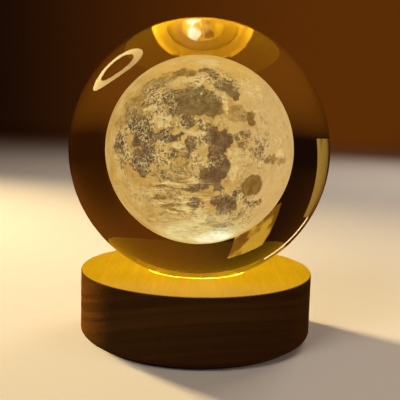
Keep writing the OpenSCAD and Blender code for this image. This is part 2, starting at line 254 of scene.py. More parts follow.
# The front right LED and the board round it, which the photograph shows white-hot: the glow
# starts and is full, then ends, along X and along Y
HOT_X = (0.6 * MM, 1.0 * MM, 5.0 * MM, 5.4 * MM)
HOT_Y = (-10.2 * MM, -9.6 * MM, -5.0 * MM, -4.2 * MM)


def beside_hot_led(nodes, x, y):
    return nodes.times(nodes.between(x, *HOT_X), nodes.between(y, *HOT_Y))


def on_right(nodes, x):
    return nodes.step(x, -1 * MM, 1 * MM)


def clear_glass():
    material, nodes, shader = new_material("clear_glass")
    finish_of(
        nodes, shader,
        Base_Color=(0.99, 0.985, 0.975), Transmission_Weight=1.0, IOR=GLASS_INDEX,
        Roughness=nodes.step(nodes.noise(nodes.place(), 90, 3), 0.35, 0.8, 0.0, 0.004),
    )
    return material


def clear_plastic():
    material, nodes, shader = new_material("clear_plastic")
    finish_of(
        nodes, shader,
        Base_Color=(0.98, 0.97, 0.93), Transmission_Weight=1.0, IOR=ACRYLIC_INDEX,
        Roughness=nodes.step(nodes.noise(nodes.place(), 500, 2), 0.3, 0.8, 0.0, 0.006),
    )
    return material


def lit_wood():
    """Oiled wood in dark tones, partly its own colour and partly painted shade of its unlit side,
    its grain along Y; its top and its well glow in the LEDs' light.
    """
    material, nodes, shader = new_material("lit_wood")
    at = nodes.place()
    x, y, z = nodes.axes(at)

    fibre = nodes.noise(nodes.stretched(at, (1100, 50, 1100)), 1.0, 4, 0.6, 0.3)
    from_pith = nodes.radius(
        nodes.math("SUBTRACT", x, PITH_X), nodes.math("SUBTRACT", z, PITH_Z))
    ring_at = nodes.point(nodes.times(from_pith, 620), nodes.times(y, 14))
    ring = nodes.noise(ring_at, 1.0, 3, 0.5, 0.25)
    pore = nodes.step(nodes.noise(nodes.stretched(at, (2600, 150, 2600)), 1.0, 2), 0.62, 0.72)
    tone = nodes.mix(nodes.step(ring, 0.35, 0.65), *WOOD_RINGS)
    tone = nodes.mix(nodes.step(fibre, 0.4, 0.7, 0.0, 0.6), tone, WOOD_FIBRE)
    tone = nodes.mix(nodes.times(pore, 0.5), tone, WOOD_PORE)

    # The top glows a little more near the seat, and less in its pores
    radius = nodes.radius(x, y)
    on_top = nodes.step(z, WOOD_TOP - 0.35 * MM, WOOD_TOP - 0.02 * MM)
    near = nodes.step(radius, SEAT_R, WOOD_R, 1.12, 0.92, smooth=False)
    patch = nodes.scaled(nodes.noise(at, 60, 2), 0.3, 0.85)
    grain_light = nodes.times(
        nodes.step(fibre, 0.3, 0.7, 0.93, 1.06), nodes.step(pore, 0.0, 1.0, 1.0, 0.86))
    top_glow = nodes.times(nodes.times(on_top, near), nodes.times(patch, grain_light))

    # The well's wall glows more at its foot, and hardly at its mouth
    in_well = nodes.times(
        nodes.step(radius, SEAT_R + 0.21 * MM, SEAT_R + 0.26 * MM, 1.0, 0.0),
        nodes.step(z, WINDOW_LOW - 4 * MM, WINDOW_LOW - 3 * MM),
    )
    well_light = nodes.times(
        nodes.step(z, WINDOW_LOW, WOOD_TOP, 5.0, 2.6),
        nodes.step(z, WOOD_TOP - 0.7 * MM, WOOD_TOP - 0.3 * MM, 1.0, 0.15),
    )
    finish_of(
        nodes, shader,
        Base_Color=tone, Specular_IOR_Level=0.15,
        Roughness=nodes.step(fibre, 0.3, 0.7, 0.48, 0.6),
        Normal=nodes.bump(nodes.scaled(pore, -0.6, fibre), 0.06 * MM, 0.5),
        Emission_Color=nodes.mix(nodes.step(y, -16 * MM, -33 * MM), WOOD_GLOW, WOOD_GLOW_FRONT),
        Emission_Strength=nodes.scaled(in_well, well_light, top_glow),
    )
    return material


def glowing_silicone():
    """The clear ring glows deep gold inside the seat and less where it peeps out under the ball."""
    material, nodes, shader = new_material("glowing_silicone")
    at = nodes.place()
    x, y, _ = nodes.axes(at)
    radius = nodes.radius(x, y)
    inside = nodes.step(radius, SEAT_R - 2.6 * MM, SEAT_R - 0.9 * MM, 0.62, 1.0)
    sideways = nodes.step(x, -SEAT_R, SEAT_R, 0.92, 1.35, smooth=False)
    edge = nodes.step(radius, SEAT_R - 0.45 * MM, SEAT_R - 0.15 * MM, 1.0, 0.10)
    toward_front = nodes.step(nodes.math("DIVIDE", y, radius), -0.62, -0.74)
    in_gap = nodes.times(
        toward_front, nodes.step(radius, SEAT_R - 1.5 * MM, SEAT_R - 0.9 * MM))
    peep = nodes.times(inside, sideways, edge, nodes.scaled(in_gap, -0.86, 1.0))
    cloudy = nodes.step(nodes.noise(at, 250, 2), 0.3, 0.7, 8.6, 10.2)
    finish_of(
        nodes, shader,
        Base_Color=nodes.mix(nodes.noise(at, 400), (0.10, 0.065, 0.020), (0.14, 0.095, 0.035)),
        Roughness=0.6, Specular_IOR_Level=0.05,
        Emission_Color=WELL_GLOW, Emission_Strength=nodes.times(peep, cloudy),
    )
    return material


def lit_board():
    material, nodes, shader = new_material("lit_board")
    at = nodes.place()
    x, y, _ = nodes.axes(at)
    spill = beside_hot_led(nodes, x, y)
    glow = nodes.step(nodes.radius(x, y), 4 * MM, 12 * MM, 2.6, 6.4)
    finish_of(
        nodes, shader,
        Base_Color=nodes.mix(nodes.noise(at, 900, 2), (0.80, 0.79, 0.74), (0.88, 0.87, 0.83)),
        Roughness=0.4,
        Emission_Color=nodes.mix(spill, WELL_GLOW, WHITE_HOT),
        Emission_Strength=nodes.scaled(spill, HOT_SPILL, glow),
    )
    return material


def led_body_plastic():
    material, nodes, shader = new_material("led_body_plastic")
    at = nodes.place()
    x, y, _ = nodes.axes(at)
    bright = on_right(nodes, x)
    hot = beside_hot_led(nodes, x, y)
    gold = nodes.mix(bright, (1.0, 0.48, 0.01), (1.0, 0.56, 0.04))
    finish_of(
        nodes, shader,
        Base_Color=nodes.mix(nodes.noise(at, 1500), (0.85, 0.82, 0.70), (0.92, 0.90, 0.80)),
        Roughness=0.45,
        Emission_Color=nodes.mix(hot, gold, WHITE_HOT),
        Emission_Strength=nodes.scaled(hot, HOT_SPILL, nodes.step(bright, 0.0, 1.0, 4.5, 8.0)),
    )
    return material


def led_light():
    """Two of the LEDs shine white-hot and two a dim gold, as the photograph shows them."""
    material, nodes, shader = new_material("led_light")
    at = nodes.place()
    bright = on_right(nodes, nodes.axes(at)[0])
    finish_of(
        nodes, shader,
        Base_Color=nodes.mix(nodes.noise(at, 1500), (0.9, 0.65, 0.2), (1.0, 0.8, 0.3)),
        Roughness=0.3,
        Emission_Color=nodes.mix(bright, DIM_GLOW, WHITE_HOT),
        Emission_Strength=nodes.step(bright, 0.0, 1.0, 7.5, HOT_LED),
    )
    return material


def lit_finish(name, tones, scale, roughness, metallic, glow):
    """The finish of a small piece in the light well, which glows in the LEDs' light."""
    material, nodes, shader = new_material(name)
    finish_of(
        nodes, shader,
        Base_Color=nodes.mix(nodes.noise(nodes.place(), scale), *tones),
        Roughness=roughness, Metallic=metallic,
        Emission_Color=WELL_GLOW, Emission_Strength=glow,
    )
    return material


# ---- Plain finishes of the CAD pieces ----

FINE_GRAIN = 0.02 * MM
FOAM_GRAIN = 0.08 * MM
ROUGHNESS_SPREAD = 0.06

# Darker and lighter tone, scale of the mottle, roughness, metallic and height of the grain
PLAIN_FINISHES = {
    "zinc_steel": ((0.55, 0.55, 0.56), (0.70, 0.70, 0.71), 2200, 0.32, 1.0, FINE_GRAIN),
    "black_plastic": ((0.030, 0.030, 0.030), (0.050, 0.050, 0.050), 1800, 0.55, 0.0, FINE_GRAIN),
    "black_ceramic": ((0.03, 0.03, 0.03), (0.06, 0.06, 0.06), 3000, 0.4, 0.0, FINE_GRAIN),
    "solder": ((0.62, 0.63, 0.64), (0.78, 0.79, 0.80), 1600, 0.25, 1.0, FINE_GRAIN),
    "red_insulation": ((0.50, 0.03, 0.02), (0.62, 0.05, 0.04), 900, 0.4, 0.0, FINE_GRAIN),
    "black_insulation": ((0.02, 0.02, 0.02), (0.04, 0.04, 0.04), 900, 0.4, 0.0, FINE_GRAIN),
    "green_board": ((0.02, 0.14, 0.06), (0.03, 0.20, 0.09), 1200, 0.35, 0.0, FINE_GRAIN),
    "nickel_shell": ((0.60, 0.60, 0.60), (0.74, 0.73, 0.71), 1500, 0.22, 1.0, FINE_GRAIN),
    "foot_foam": ((0.012, 0.012, 0.012), (0.030, 0.030, 0.030), 2500, 0.85, 0.0, FOAM_GRAIN),
}
PLAIN_PIECES = {
    "solder_joints": "solder",
    "lead_positive": "red_insulation",
    "lead_negative": "black_insulation",
    "inlet_board": "green_board",
    "inlet_shell": "nickel_shell",
    "inlet_tongue": "black_plastic",
    "inlet_resistors": "black_ceramic",
    "inlet_board_screws": "zinc_steel",
    "bottom_cover": "black_plastic",
    "cover_screws": "zinc_steel",
    "foot_pad": "foot_foam",
}


def plain_finish(name, low, high, scale, roughness, metallic, grain):
    """A finish with a fine mottle between two tones and a fine bump."""
    material, nodes, shader = new_material(name)
    speck = nodes.noise(nodes.place(), scale, 4, 0.6)
    finish_of(
        nodes, shader,
        Base_Color=nodes.mix(nodes.step(speck, 0.3, 0.7), low, high),
        Roughness=nodes.step(
            speck, 0.3, 0.7, roughness - ROUGHNESS_SPREAD, roughness + ROUGHNESS_SPREAD),
        Metallic=metallic, Normal=nodes.bump(speck, grain, 0.6),
    )
    return material


def dress_cad_pieces():
    finishes = {
        "wood_base": lit_wood(),
        "seat_ring": glowing_silicone(),
        "clear_window": clear_plastic(),
        "led_board": lit_board(),
        "led_bodies": led_body_plastic(),
        "led_light_spots": led_light(),
        "led_resistors": lit_finish(
            "lit_ceramic", ((0.03, 0.03, 0.03), (0.06, 0.06, 0.06)), 3000, 0.4, 0.0, 1.9),
        "led_board_screws": lit_finish(
            "lit_steel", ((0.50, 0.48, 0.45), (0.62, 0.60, 0.56)), 2200, 0.35, 1.0, 4.4),
    }
    plain = {name: plain_finish(name, *values) for name, values in PLAIN_FINISHES.items()}
    for node, name in PLAIN_PIECES.items():
        finishes[node] = plain[name]
    for node, material in finishes.items():
        dress(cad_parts[node], material)


# ---- The moon's face ----

# Patches of the moon's face: degrees east and north of its middle, half width and half height
# in degrees, and how far the patch covers the ground
GREY_SEAS = [
    # northern plain and its shores
    (-6, 39, 15.8, 12.8, 1), (-25, 41, 9.1, 7.8, 0.75), (-21, 30, 8, 5.9, 0.75),
    (10, 35, 6, 10.7, 0.9), (0, 52, 3.9, 3.7, 0.75), (-10, 23, 4.6, 5.2, 0.8),
    (0, 20, 1.5, 4.2, 0.7),
    # central plains and the bay beside them
    (12, 12, 9.2, 6.6, 1), (13, 3, 7.6, 6.4, 1), (20, 9, 4.2, 6.2, 0.9),
    (11, -4, 5.9, 3.4, 0.7), (-6, 5, 3.7, 7.2, 0.95),
    # islands west of them
    (-21, 11, 4.6, 3.3, 0.85), (-14, 13, 3.3, 2.7, 0.8), (-28, 12, 5.1, 4.8, 0.75),
    # western ocean
    (-48, 18, 10.5, 7, 0.85), (-46, 7, 8.6, 5.3, 0.95), (-36, 10, 6.8, 6.3, 0.9),
    (-46, -6, 8.7, 6.3, 0.85), (-43, -12, 6.8, 4.6, 0.95), (-36, -5, 5.3, 3.5, 0.85),
    (-38, 1, 5.9, 3.8, 0.8), (-67, 4, 7.2, 5.9, 0.85), (-62, -7, 4.5, 3.2, 0.6),
    # southern plains
    (9, -14, 10.6, 7.8, 1), (2, -19, 5.6, 4.5, 0.85), (-1, -24, 6.2, 3.4, 0.8),
    (18, -8, 5.4, 6.5, 0.85), (15, -23, 3.4, 3.2, 0.7),
    # south-eastern seas
    (24, -37, 8.2, 8.4, 0.97), (30, -30, 3.4, 4.6, 0.85), (14, -33, 4.6, 4.2, 0.8),
    (-3, -37, 5.4, 6.1, 0.8), (14, -52, 4, 3.7, 0.75), (36, -59, 8.1, 7, 0.75),
    (41, -46, 5.8, 6.1, 0.5),
    # northern arc
    (7, 68, 5.2, 4.3, 0.74), (18, 62, 4.6, 5.1, 0.74), (26, 52, 6.1, 5.2, 0.85),
    (32, 45, 5.1, 5.3, 0.82),
    # specks in the east, the west and the middle
    (43, 4, 6.3, 7.1, 0.5), (31, 12, 7, 5, 0.5), (-60, 23, 10, 7.3, 0.5),
    (-14, -2, 11.9, 4.8, 0.42), (-22, -15, 13.6, 4, 0.42), (-41, 31, 7, 6.7, 0.45),
]
ROUND_SEA = [(42.6, -21.4, 8.6, 7.5, 1)]
BROWN_SEAS = [
    # northern arc of small seas
    (12, 66, 12, 5.5, 0.35), (29, 49, 8, 8, 0.4),
    # eastern bays
    (41, 25, 4, 5.4, 0.95), (30, 29, 10.3, 8, 0.5), (30, 7, 4.3, 3.1, 0.7),
    (56, -3, 7.6, 3.8, 0.6),
    # haze in the north-west
    (-60, 31, 15.1, 8.6, 0.55), (-55, 47, 11.2, 8, 0.55), (-45, 57, 9.1, 7, 0.55),
    (-24, 64, 8.6, 5.8, 0.65),
    # eastern limb and a small crater sea
    (66, -4, 11.7, 3.2, 0.5), (-19, 1, 3.2, 3.3, 0.95),
    # streaks in the south
    (50, -35, 9.2, 2.7, 0.8), (-29, -23, 5, 1.9, 0.85), (-32, -32, 5.1, 1.4, 0.85),
    (-19, -32, 3.8, 1.4, 0.75), (-34, -46, 10.1, 1.5, 0.55), (-19, -40, 12.2, 1.3, 0.5),
    (-33, -17, 6.1, 1.3, 0.55), (-16, -14, 12.1, 6.6, 0.45), (-71, 17, 6.9, 4.7, 0.5),
    (-44, -61, 10.5, 2.1, 0.45), (-59, -53, 10.1, 2, 0.45),
]
PALE_LANDS = [
    (-27, 22, 6.5, 4.3, 0.9), (-43, 30, 6.2, 2.9, 0.75), (-2, 15, 8.8, 2.7, 0.85),
    (-15, 5, 4.5, 3.3, 0.8), (27, -1, 8.3, 6.3, 0.5), (-7, 57, 9.3, 4, 0.65),
    (29, 79, 9.9, 6.2, 0.75), (57, 48, 10.6, 8.6, 0.55), (65, 1, 5.4, 2.8, 0.8),
    (65, 8, 5.8, 3.3, 0.55), (-1, 45, 1.1, 1.5, 1), (-22, -36, 13.5, 1.5, 0.8),
    (-20, -43, 11.2, 1.5, 0.7), (4, -47, 5.7, 8.4, 0.6), (35, -31, 2.9, 7.2, 0.6),
    (-4, -18, 4, 2.7, 0.75), (6, -4, 2.9, 2.7, 0.5), (21, 38, 2.6, 10.3, 0.75),
    (26, -13, 2.7, 7, 0.7),
]
ROUGH_GROUND = [
    (-42, 5, 28.3, 25.2, 1), (-36, 35, 21.8, 17.7, 0.9), (-6, 5, 25.9, 25.6, 0.85),
    (-7, 39, 20.3, 17.4, 0.6), (25, -44, 25.8, 26.3, 0.9), (40, 9, 17.2, 19.3, 0.65),
    (-24, -29, 34.2, 22.4, 0.55), (10, -13, 15.7, 13.1, 0.8), (21, 56, 16, 13, 0.75),
]
STREAKED_GROUND = [
    (-17, -30, 22, 17, 0.85), (-24, -58, 26, 11, 0.45), (-28, -15, 14, 5, 0.5),
]

# Tones of the engraved dots; a pair is darker and lighter
LAND = ((0.53, 0.305, 0.068), (0.65, 0.41, 0.120))
EAST_LAND = (0.68, 0.44, 0.17)
NORTH_LAND = (0.76, 0.44, 0.095)
PALE_LAND = (0.76, 0.54, 0.20)
LAND_MOTTLE = (0.34, 0.195, 0.042)
BROWN_SEA = ((0.185, 0.090, 0.012), (0.290, 0.155, 0.030))
NORTH_SEA = ((0.170, 0.096, 0.026), (0.265, 0.158, 0.046))
SOUTH_SEA = ((0.125, 0.062, 0.024), (0.225, 0.124, 0.044))
SEA_SPECKS = ((0.085, 0.044, 0.018), (0.36, 0.225, 0.075))
ROUND_SEA_FLOOR = ((0.190, 0.098, 0.018), (0.275, 0.145, 0.028))
ROUND_SEA_RIM = (0.195, 0.100, 0.018)
WEB = (0.80, 0.60, 0.26)
GRIT = ((0.062, 0.032, 0.009), (0.84, 0.62, 0.25))
STREAKS = ((0.19, 0.105, 0.022), (0.84, 0.66, 0.27))
FAR_SIDE = ((0.56, 0.340, 0.090), (0.70, 0.455, 0.150))
LIT_BELOW = (0.77, 0.66, 0.27)
LIT_SPOT = (0.98, 0.98, 0.66)
LIT_LEFT = (0.90, 0.90, 0.50)

# Where the LEDs light the moon's lower end, as directions from its middle
BELOW = (0.05, -0.24, -0.97)
SPOT = (0.19, -0.20, -0.961)
SPOT_LEFT = (-0.17, -0.30, -0.94)

NOISE_SHIFT = (7.3, 3.1, 5.7)       # how far apart the clouds of two seeds lie
CRATER_SEED = 7
CRATERS = 420
CRATER_SIZES = (0.8, 0.9, 1.1, 1.3, 1.6, 2.0, 2.6)      # radius in degrees
SEA_DEPTH = 0.22 * MM


def way(east, north):
    """The unit vector from the moon's middle to a place on it; its face looks to -Y."""
    e, n = math.radians(east), math.radians(north)
    return Vector((math.sin(e) * math.cos(n), -math.cos(e) * math.cos(n), math.sin(n)))


def unit(ways):
    return ways / np.linalg.norm(ways, axis=1)[:, None]


def cover_of(ways, patches, edge):
    """How far patches cover each point: each is flat in its middle and fades over its edge."""
    cover = np.zeros(len(ways))
    for east, north, wide, high, share in patches:
        middle = np.array(way(east, north))
        to_east = np.array((math.cos(math.radians(east)), math.sin(math.radians(east)), 0.0))
        to_north = np.cross(middle, to_east)
        u = ways @ to_east / math.sin(math.radians(wide))
        v = ways @ to_north / math.sin(math.radians(high))
        depth = np.clip((1.0 + 0.5 * edge - np.sqrt(u * u + v * v)) / edge, 0.0, 1.0)
        depth[ways @ middle < 0] = 0.0
        cover = np.maximum(cover, depth * share)
    return cover


def cloud(ways, scale, octaves, seed):
    shift = Vector([seed * step for step in NOISE_SHIFT])
    return np.array([noise.fractal(Vector(w) * scale + shift, 1.0, 2.0, octaves) for w in ways])


def bent(ways, amount, scale, octaves, seed=11):
    """The same ways, pushed about by a cloud, so that patches get uneven shores."""
    push = np.stack([cloud(ways, scale, octaves, seed + i) for i in range(3)], axis=1)
    return unit(ways + amount * push)


def relief_of(ways):
    """Height over the sphere, in parts of its radius: low waves and small craters."""
    relief = 0.0035 * cloud(ways, 9, 5, 2)
    random.seed(CRATER_SEED)
    for _ in range(CRATERS):
        east = random.uniform(-180, 180)
        north = math.degrees(math.asin(random.uniform(-1, 1)))
        size = math.radians(random.choice(CRATER_SIZES))
        middle = np.array(way(east, north))
        near = ways @ middle > math.cos(1.8 * size)
        away = np.arccos(np.clip(ways[near] @ middle, -1, 1)) / size
        bowl = np.where(away < 1, away ** 2 - 1, 0.0)
        rim = np.exp(-((away - 1.05) / 0.22) ** 2)
        relief[near] += size * (0.11 * bowl + 0.055 * rim)
    return relief


def moon_grain(nodes, at):
    """The noises of the engraving, from broad to fine."""
    return {
        "broad": nodes.noise(at, 240, 3, 0.55),
        "mottle": nodes.noise(at, 520, 3, 0.6),
        "fine": nodes.noise(at, 950, 5, 0.75),
        "grit": nodes.noise(at, 1500, 5, 0.85),
        "line": nodes.noise(nodes.stretched(at, (190, 190, 1250)), 1.0, 4, 0.65, 0.5),
    }


def squiggles(nodes, at):
    """Thin bent lines: the walls between cells whose places are pushed about."""
    push = nodes.noise(at, 420, 3, output="Color")
    pushed = nodes.vector("ADD", at, nodes.vector("MULTIPLY", push, (0.0016, 0.0016, 0.0016)))
    cells = nodes.add(
        "TexVoronoi", {"feature": "DISTANCE_TO_EDGE"}, {"Vector": pushed, "Scale": 800})
    return nodes.step(cells.outputs["Distance"], 0.11, 0.035)


def land_tone(nodes, x, z, broad):
    tone = nodes.mix(nodes.step(broad, 0.35, 0.65), *LAND)
    east = nodes.step(x, 0.30 * MOON_R, 0.75 * MOON_R, 0.0, 0.6)
    north = nodes.step(z, 0.70 * MOON_R, 0.92 * MOON_R, 0.0, 0.7)
    return nodes.mix(north, nodes.mix(east, tone, EAST_LAND), NORTH_LAND)


def grey_sea_tone(nodes, z, mottle, fine):
    north = nodes.mix(nodes.step(mottle, 0.35, 0.65), *NORTH_SEA)
    south = nodes.mix(nodes.step(mottle, 0.35, 0.65), *SOUTH_SEA)
    tone = nodes.mix(nodes.step(z, 4 * MM, 9 * MM), south, north)
    tone = nodes.mix(nodes.times(nodes.step(fine, 0.52, 0.66), 0.45), tone, SEA_SPECKS[1])
    return nodes.mix(nodes.times(nodes.step(fine, 0.46, 0.34), 0.55), tone, SEA_SPECKS[0])


def far_side_tone(nodes, broad, grit):
    """The far side is plain and pale."""
    tone = nodes.mix(nodes.step(broad, 0.30, 0.70), *FAR_SIDE)
    return nodes.mix(nodes.times(nodes.step(grit, 0.50, 0.42), 0.35), tone, LAND_MOTTLE)


def lit_from_below(nodes, at, line, tone):
    """The LEDs under the moon light up its lower end."""
    outward = nodes.vector("NORMALIZE", at)

    def light(toward, low, high):
        return nodes.step(nodes.vector("DOT_PRODUCT", outward, toward), low, high)

    lamp_light = nodes.times(light(BELOW, 0.78, 0.995), nodes.step(line, 0.40, 0.58, 0.35, 1.0))
    tone = nodes.mix(nodes.times(lamp_light, 0.85), tone, LIT_BELOW)
    spot_light = nodes.times(light(SPOT, 0.965, 0.996), nodes.step(line, 0.40, 0.58, 0.60, 1.0))
    tone = nodes.mix(spot_light, tone, LIT_SPOT)
    return nodes.mix(nodes.times(light(SPOT_LEFT, 0.965, 0.999), 0.25), tone, LIT_LEFT)


def moon_surface():
    """The engraved dots' glow: pale highlands, grey and brown seas, and a fine speckle."""
    material, nodes, shader = new_material("moon_surface")
    at = nodes.vector("SUBTRACT", nodes.place(), tuple(BALL))
    x, y, z = nodes.axes(at)
    broad, mottle, fine, grit, line = moon_grain(nodes, at).values()
    step, mix, times, total, about = nodes.step, nodes.mix, nodes.times, nodes.total, nodes.about

    # Seas and lands with frayed shores
    grey_sea, brown_sea = nodes.field("grey_sea"), nodes.field("brown_sea")
    grey_mask = step(
        total(grey_sea, about(mottle, 0.9), about(fine, 1.7), about(grit, 1.5)), 0.36, 0.56)
    brown_edge = total(brown_sea, about(mottle, 0.7), about(fine, 1.1), about(grit, 0.9))
    brown_mask = times(step(brown_edge, 0.25, 0.75), step(brown_sea, 0.05, 0.6))
    round_sea = times(nodes.field("round_sea"), total(1.0, about(fine, 0.9), about(mottle, 0.9)))
    pale_edge = total(nodes.field("pale_land"), about(fine, 1.2), about(grit, 1.2))
    pale_mask = step(pale_edge, 0.35, 0.7)
    rough = nodes.scaled(nodes.field("rough_ground"), 0.85, 0.15)

    tone = mix(
        times(step(mottle, 0.50, 0.60), times(rough, 0.6)),
        land_tone(nodes, x, z, broad), LAND_MOTTLE)
    tone = mix(brown_mask, tone, mix(step(fine, 0.35, 0.65), *BROWN_SEA))
    tone = mix(grey_mask, tone, grey_sea_tone(nodes, z, mottle, fine))
    tone = mix(times(pale_mask, 0.85), tone, PALE_LAND)
    round_floor = mix(step(mottle, 0.40, 0.60), *ROUND_SEA_FLOOR)
    round_tone = mix(step(round_sea, 0.95, 0.45), round_floor, ROUND_SEA_RIM)
    tone = mix(step(round_sea, 0.12, 0.65), tone, round_tone)

    # The engraving's grain: squiggles and grit, in patches, and less in the seas
    patchy = step(nodes.noise(at, 260, 3, 0.6), 0.44, 0.56, 0.12, 1.0)
    calmer_east = step(x, -0.52 * MOON_R, -0.26 * MOON_R, 0.25, 1.0)
    solid = times(step(grey_sea, 0.75, 0.98), calmer_east)
    calm = nodes.math("SUBTRACT", 1.0, step(round_sea, 0.1, 0.5, 0.0, 0.85))
    grain_at = times(rough, calm, patchy, nodes.scaled(solid, -0.60, 1.0))
    web_share = nodes.scaled(times(grey_mask, calmer_east), -0.32, 0.72)
    tone = mix(times(squiggles(nodes, at), grain_at, web_share), tone, WEB)
    tone = mix(times(step(grit, 0.50, 0.43), times(grain_at, 0.95)), tone, GRIT[0])
    tone = mix(times(step(grit, 0.54, 0.61), times(grain_at, 0.8)), tone, GRIT[1])
    streaks = nodes.field("streaked_ground")
    tone = mix(times(step(line, 0.475, 0.40), times(streaks, 0.9)), tone, STREAKS[0])
    tone = mix(times(step(line, 0.54, 0.62), times(streaks, 0.75)), tone, STREAKS[1])

    at_back = step(y, -0.05 * MOON_R, 0.40 * MOON_R)
    tone = mix(at_back, tone, far_side_tone(nodes, broad, grit))
    tone = lit_from_below(nodes, at, line, tone)
    # Painted light and shade on the relief: low ground and crater floors glow less and rims more,
    # and slopes that face down glow more, as if lit by the LEDs below
    glow = total(1.04, times(nodes.field("height"), 0.25), times(nodes.field("underlit_slope"), 0.28))
    finish_of(
        nodes, shader,
        Base_Color=mix(grey_mask, (0.040, 0.030, 0.018), (0.016, 0.012, 0.008)),
        Roughness=0.8, Specular_IOR_Level=0.0,
        Emission_Color=tone, Emission_Strength=glow,
    )
    return material


# ---- Ball and moon ----

def turned_ball(name, radius, points, steps):
    """Half a circle, spun round Z: a ball with its poles at the top and the bottom."""
    bpy.ops.object.select_all(action="DESELECT")
    bpy.ops.mesh.primitive_circle_add(
        vertices=2 * points, radius=radius, rotation=(math.pi / 2, 0, 0))
    ball = bpy.context.object
    ball.name = name
    bpy.ops.object.transform_apply(location=False, rotation=True, scale=False)
    bpy.ops.object.mode_set(mode="EDIT")
    bpy.ops.mesh.select_all(action="SELECT")
    bpy.ops.mesh.bisect(plane_co=(0, 0, 0), plane_no=(1, 0, 0), clear_inner=True)
    bpy.ops.mesh.select_all(action="SELECT")
    bpy.ops.mesh.spin(steps=steps, angle=2 * math.pi, center=(0, 0, 0), axis=(0, 0, 1))
    bpy.ops.mesh.select_all(action="SELECT")
    bpy.ops.mesh.remove_doubles(threshold=1e-6)
    bpy.ops.mesh.normals_make_consistent(inside=False)
    bpy.ops.object.mode_set(mode="OBJECT")
    ball.data.transform(Matrix.Translation(BALL))
    bpy.ops.object.shade_smooth()
    return ball


def make_ball():
    ball = turned_ball("glass_ball", BALL_R, *BALL_MESH)
    dress(ball, clear_glass())
    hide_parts("crystal_ball")
    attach(ball, "ball")


def make_moon():
    moon = turned_ball("moon_relief", MOON_R, *MOON_MESH)
    mesh = moon.data
    places = np.empty(len(mesh.vertices) * 3)
    mesh.vertices.foreach_get("co", places)
    ways = unit(places.reshape(-1, 3) - np.array(BALL))

    shores = bent(ways, 0.06, 8.0, 5)
    grey = cover_of(shores, GREY_SEAS, 0.55)
    brown = cover_of(bent(ways, 0.045, 10.0, 4), BROWN_SEAS, 0.35)
    round_sea = cover_of(bent(ways, 0.022, 14.0, 4), ROUND_SEA, 0.55)
    relief = relief_of(ways)
    lower = unit(ways + np.array((0, 0, -0.012)))
    fields = {
        "grey_sea": grey,
        "brown_sea": brown,
        "round_sea": round_sea,
        "pale_land": cover_of(shores, PALE_LANDS, 0.6),
        "rough_ground": cover_of(shores, ROUGH_GROUND, 0.5),
        "streaked_ground": cover_of(shores, STREAKED_GROUND, 0.5),
        # The last two only change the glow: painted shade in hollows, and painted light from the
        # LEDs below on slopes that face down
        "height": np.clip(relief * 90, -1, 1),
        "underlit_slope": np.clip((relief - relief_of(lower)) * 120, -1, 1),
    }
    for name, values in fields.items():
        mesh.attributes.new(name, "FLOAT", "POINT").data.foreach_set("value", values)

    # Nothing rises over the ball of the moon's size: seas and craters are sunk into it
    deep = np.maximum(np.maximum(grey, round_sea), brown * 0.7)
    height = np.minimum(relief * MOON_R - SEA_DEPTH * deep, 0.0)
    moved = np.array(BALL) + ways * (MOON_R + height)[:, None]
    mesh.vertices.foreach_set("co", moved.ravel())
    mesh.update()
    dress(moon, moon_surface())
    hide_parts("engraved_moon")
    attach(moon, "ball")


# ---- Stage and light ----

FLOOR_TONE = (0.62, 0.57, 0.50)
FLOOR_SIZE = 8
FLOOR_FADE = (0.35, 2.2)                # the floor fades into the room between these distances, a painted fall-off of the light
SHADE_SHEET_SIZE = 7.9
SHADE_SHEET_FADE = (0.10, 0.55)
ROOM_LEFT = (0.007, 0.0024, 0.0010)
ROOM_RIGHT = (0.105, 0.0260, 0.0020)
ROOM_FAR_RIGHT = (0.030, 0.0075, 0.0008)
ROOM_HIGH_RIGHT = (0.115, 0.0330, 0.0030)
SHADE_NEAR = (0.160, 0.046, 0.003)      # painted shade, in a dark room's tone, that the glass shows near the lamp

# The glowing ring that the ball mirrors as a painted reflection: the way to it, its lean, its
# distance from the ball, and its form
RING_WAY = (-57, 38)
RING_LEAN = math.radians(-60)
RING_DISTANCE = 0.6
RING_RADIUS = 0.1285
RING_THICK = 0.0285
RING_STRETCH = (1.225, 0.78, 0.3, 1)
RING_TONE = (1.0, 0.73, 0.26)
RING_STRENGTH = 5.5

# Glowing cards that show only through the glass, as painted warm light and a painted highlight:
# distance from the ball, the ways to the corners of one edge and of the edge across from it, and a
# darker and a lighter tone
GLASS_CARDS = {
    "gold_card_near": (
        0.8, ((-24, 11), (-10.5, 14)), ((-25.1, 28.9), (-11.9, 33.7)),
        (0.20, 0.075, 0.005), (0.60, 0.33, 0.030),
    ),
    "gold_card_far": (
        0.44, ((-74, -7), (-41, -7)), ((-60, 25), (-45.5, 21.5)),
        (0.10, 0.045, 0.004), (0.42, 0.24, 0.040),
    ),
    "gold_card_high": (
        0.8, ((-38, 43.5), (38, 43.5)), ((-60, 78), (60, 78)),
        (0.30, 0.125, 0.003), (0.46, 0.205, 0.005),
    ),
    # The thin strip: a painted highlight along the ball's rim
    "painted_rim_highlight": (
        0.6,
        ((-56.1, 21.8), (-53.8, 26.6), (-51.1, 31.3), (-47.8, 35.8), (-43.9, 40), (-39.2, 43.9)),
        ((-60.2, 22.9), (-57.9, 28), (-55.1, 32.9), (-51.9, 37.6), (-47.9, 42), (-43, 46.3)),
        (1.6, 1.1, 0.50), (2.6, 1.9, 0.95),
    ),
}

SOFTBOX_AIM = Vector((0, 0, 0.03))

# Place, size in metres, watts, tone and spread in degrees
SOFTBOXES = {
    "key_softbox": ((-0.45, -0.55, 0.65), 0.35, 3.4, (1.0, 0.95, 0.88), 180),
    "fill_softbox": ((0.70, -0.45, 0.40), 0.50, 2.0, (1.0, 0.93, 0.85), 180),
    "left_softbox": ((-0.82, 0.70, 0.13), 0.16, 5.2, (0.98, 0.78, 0.42), 40),
    "back_softbox": ((0.45, 0.65, 0.55), 0.45, 3.6, (1.0, 0.93, 0.85), 180),
}


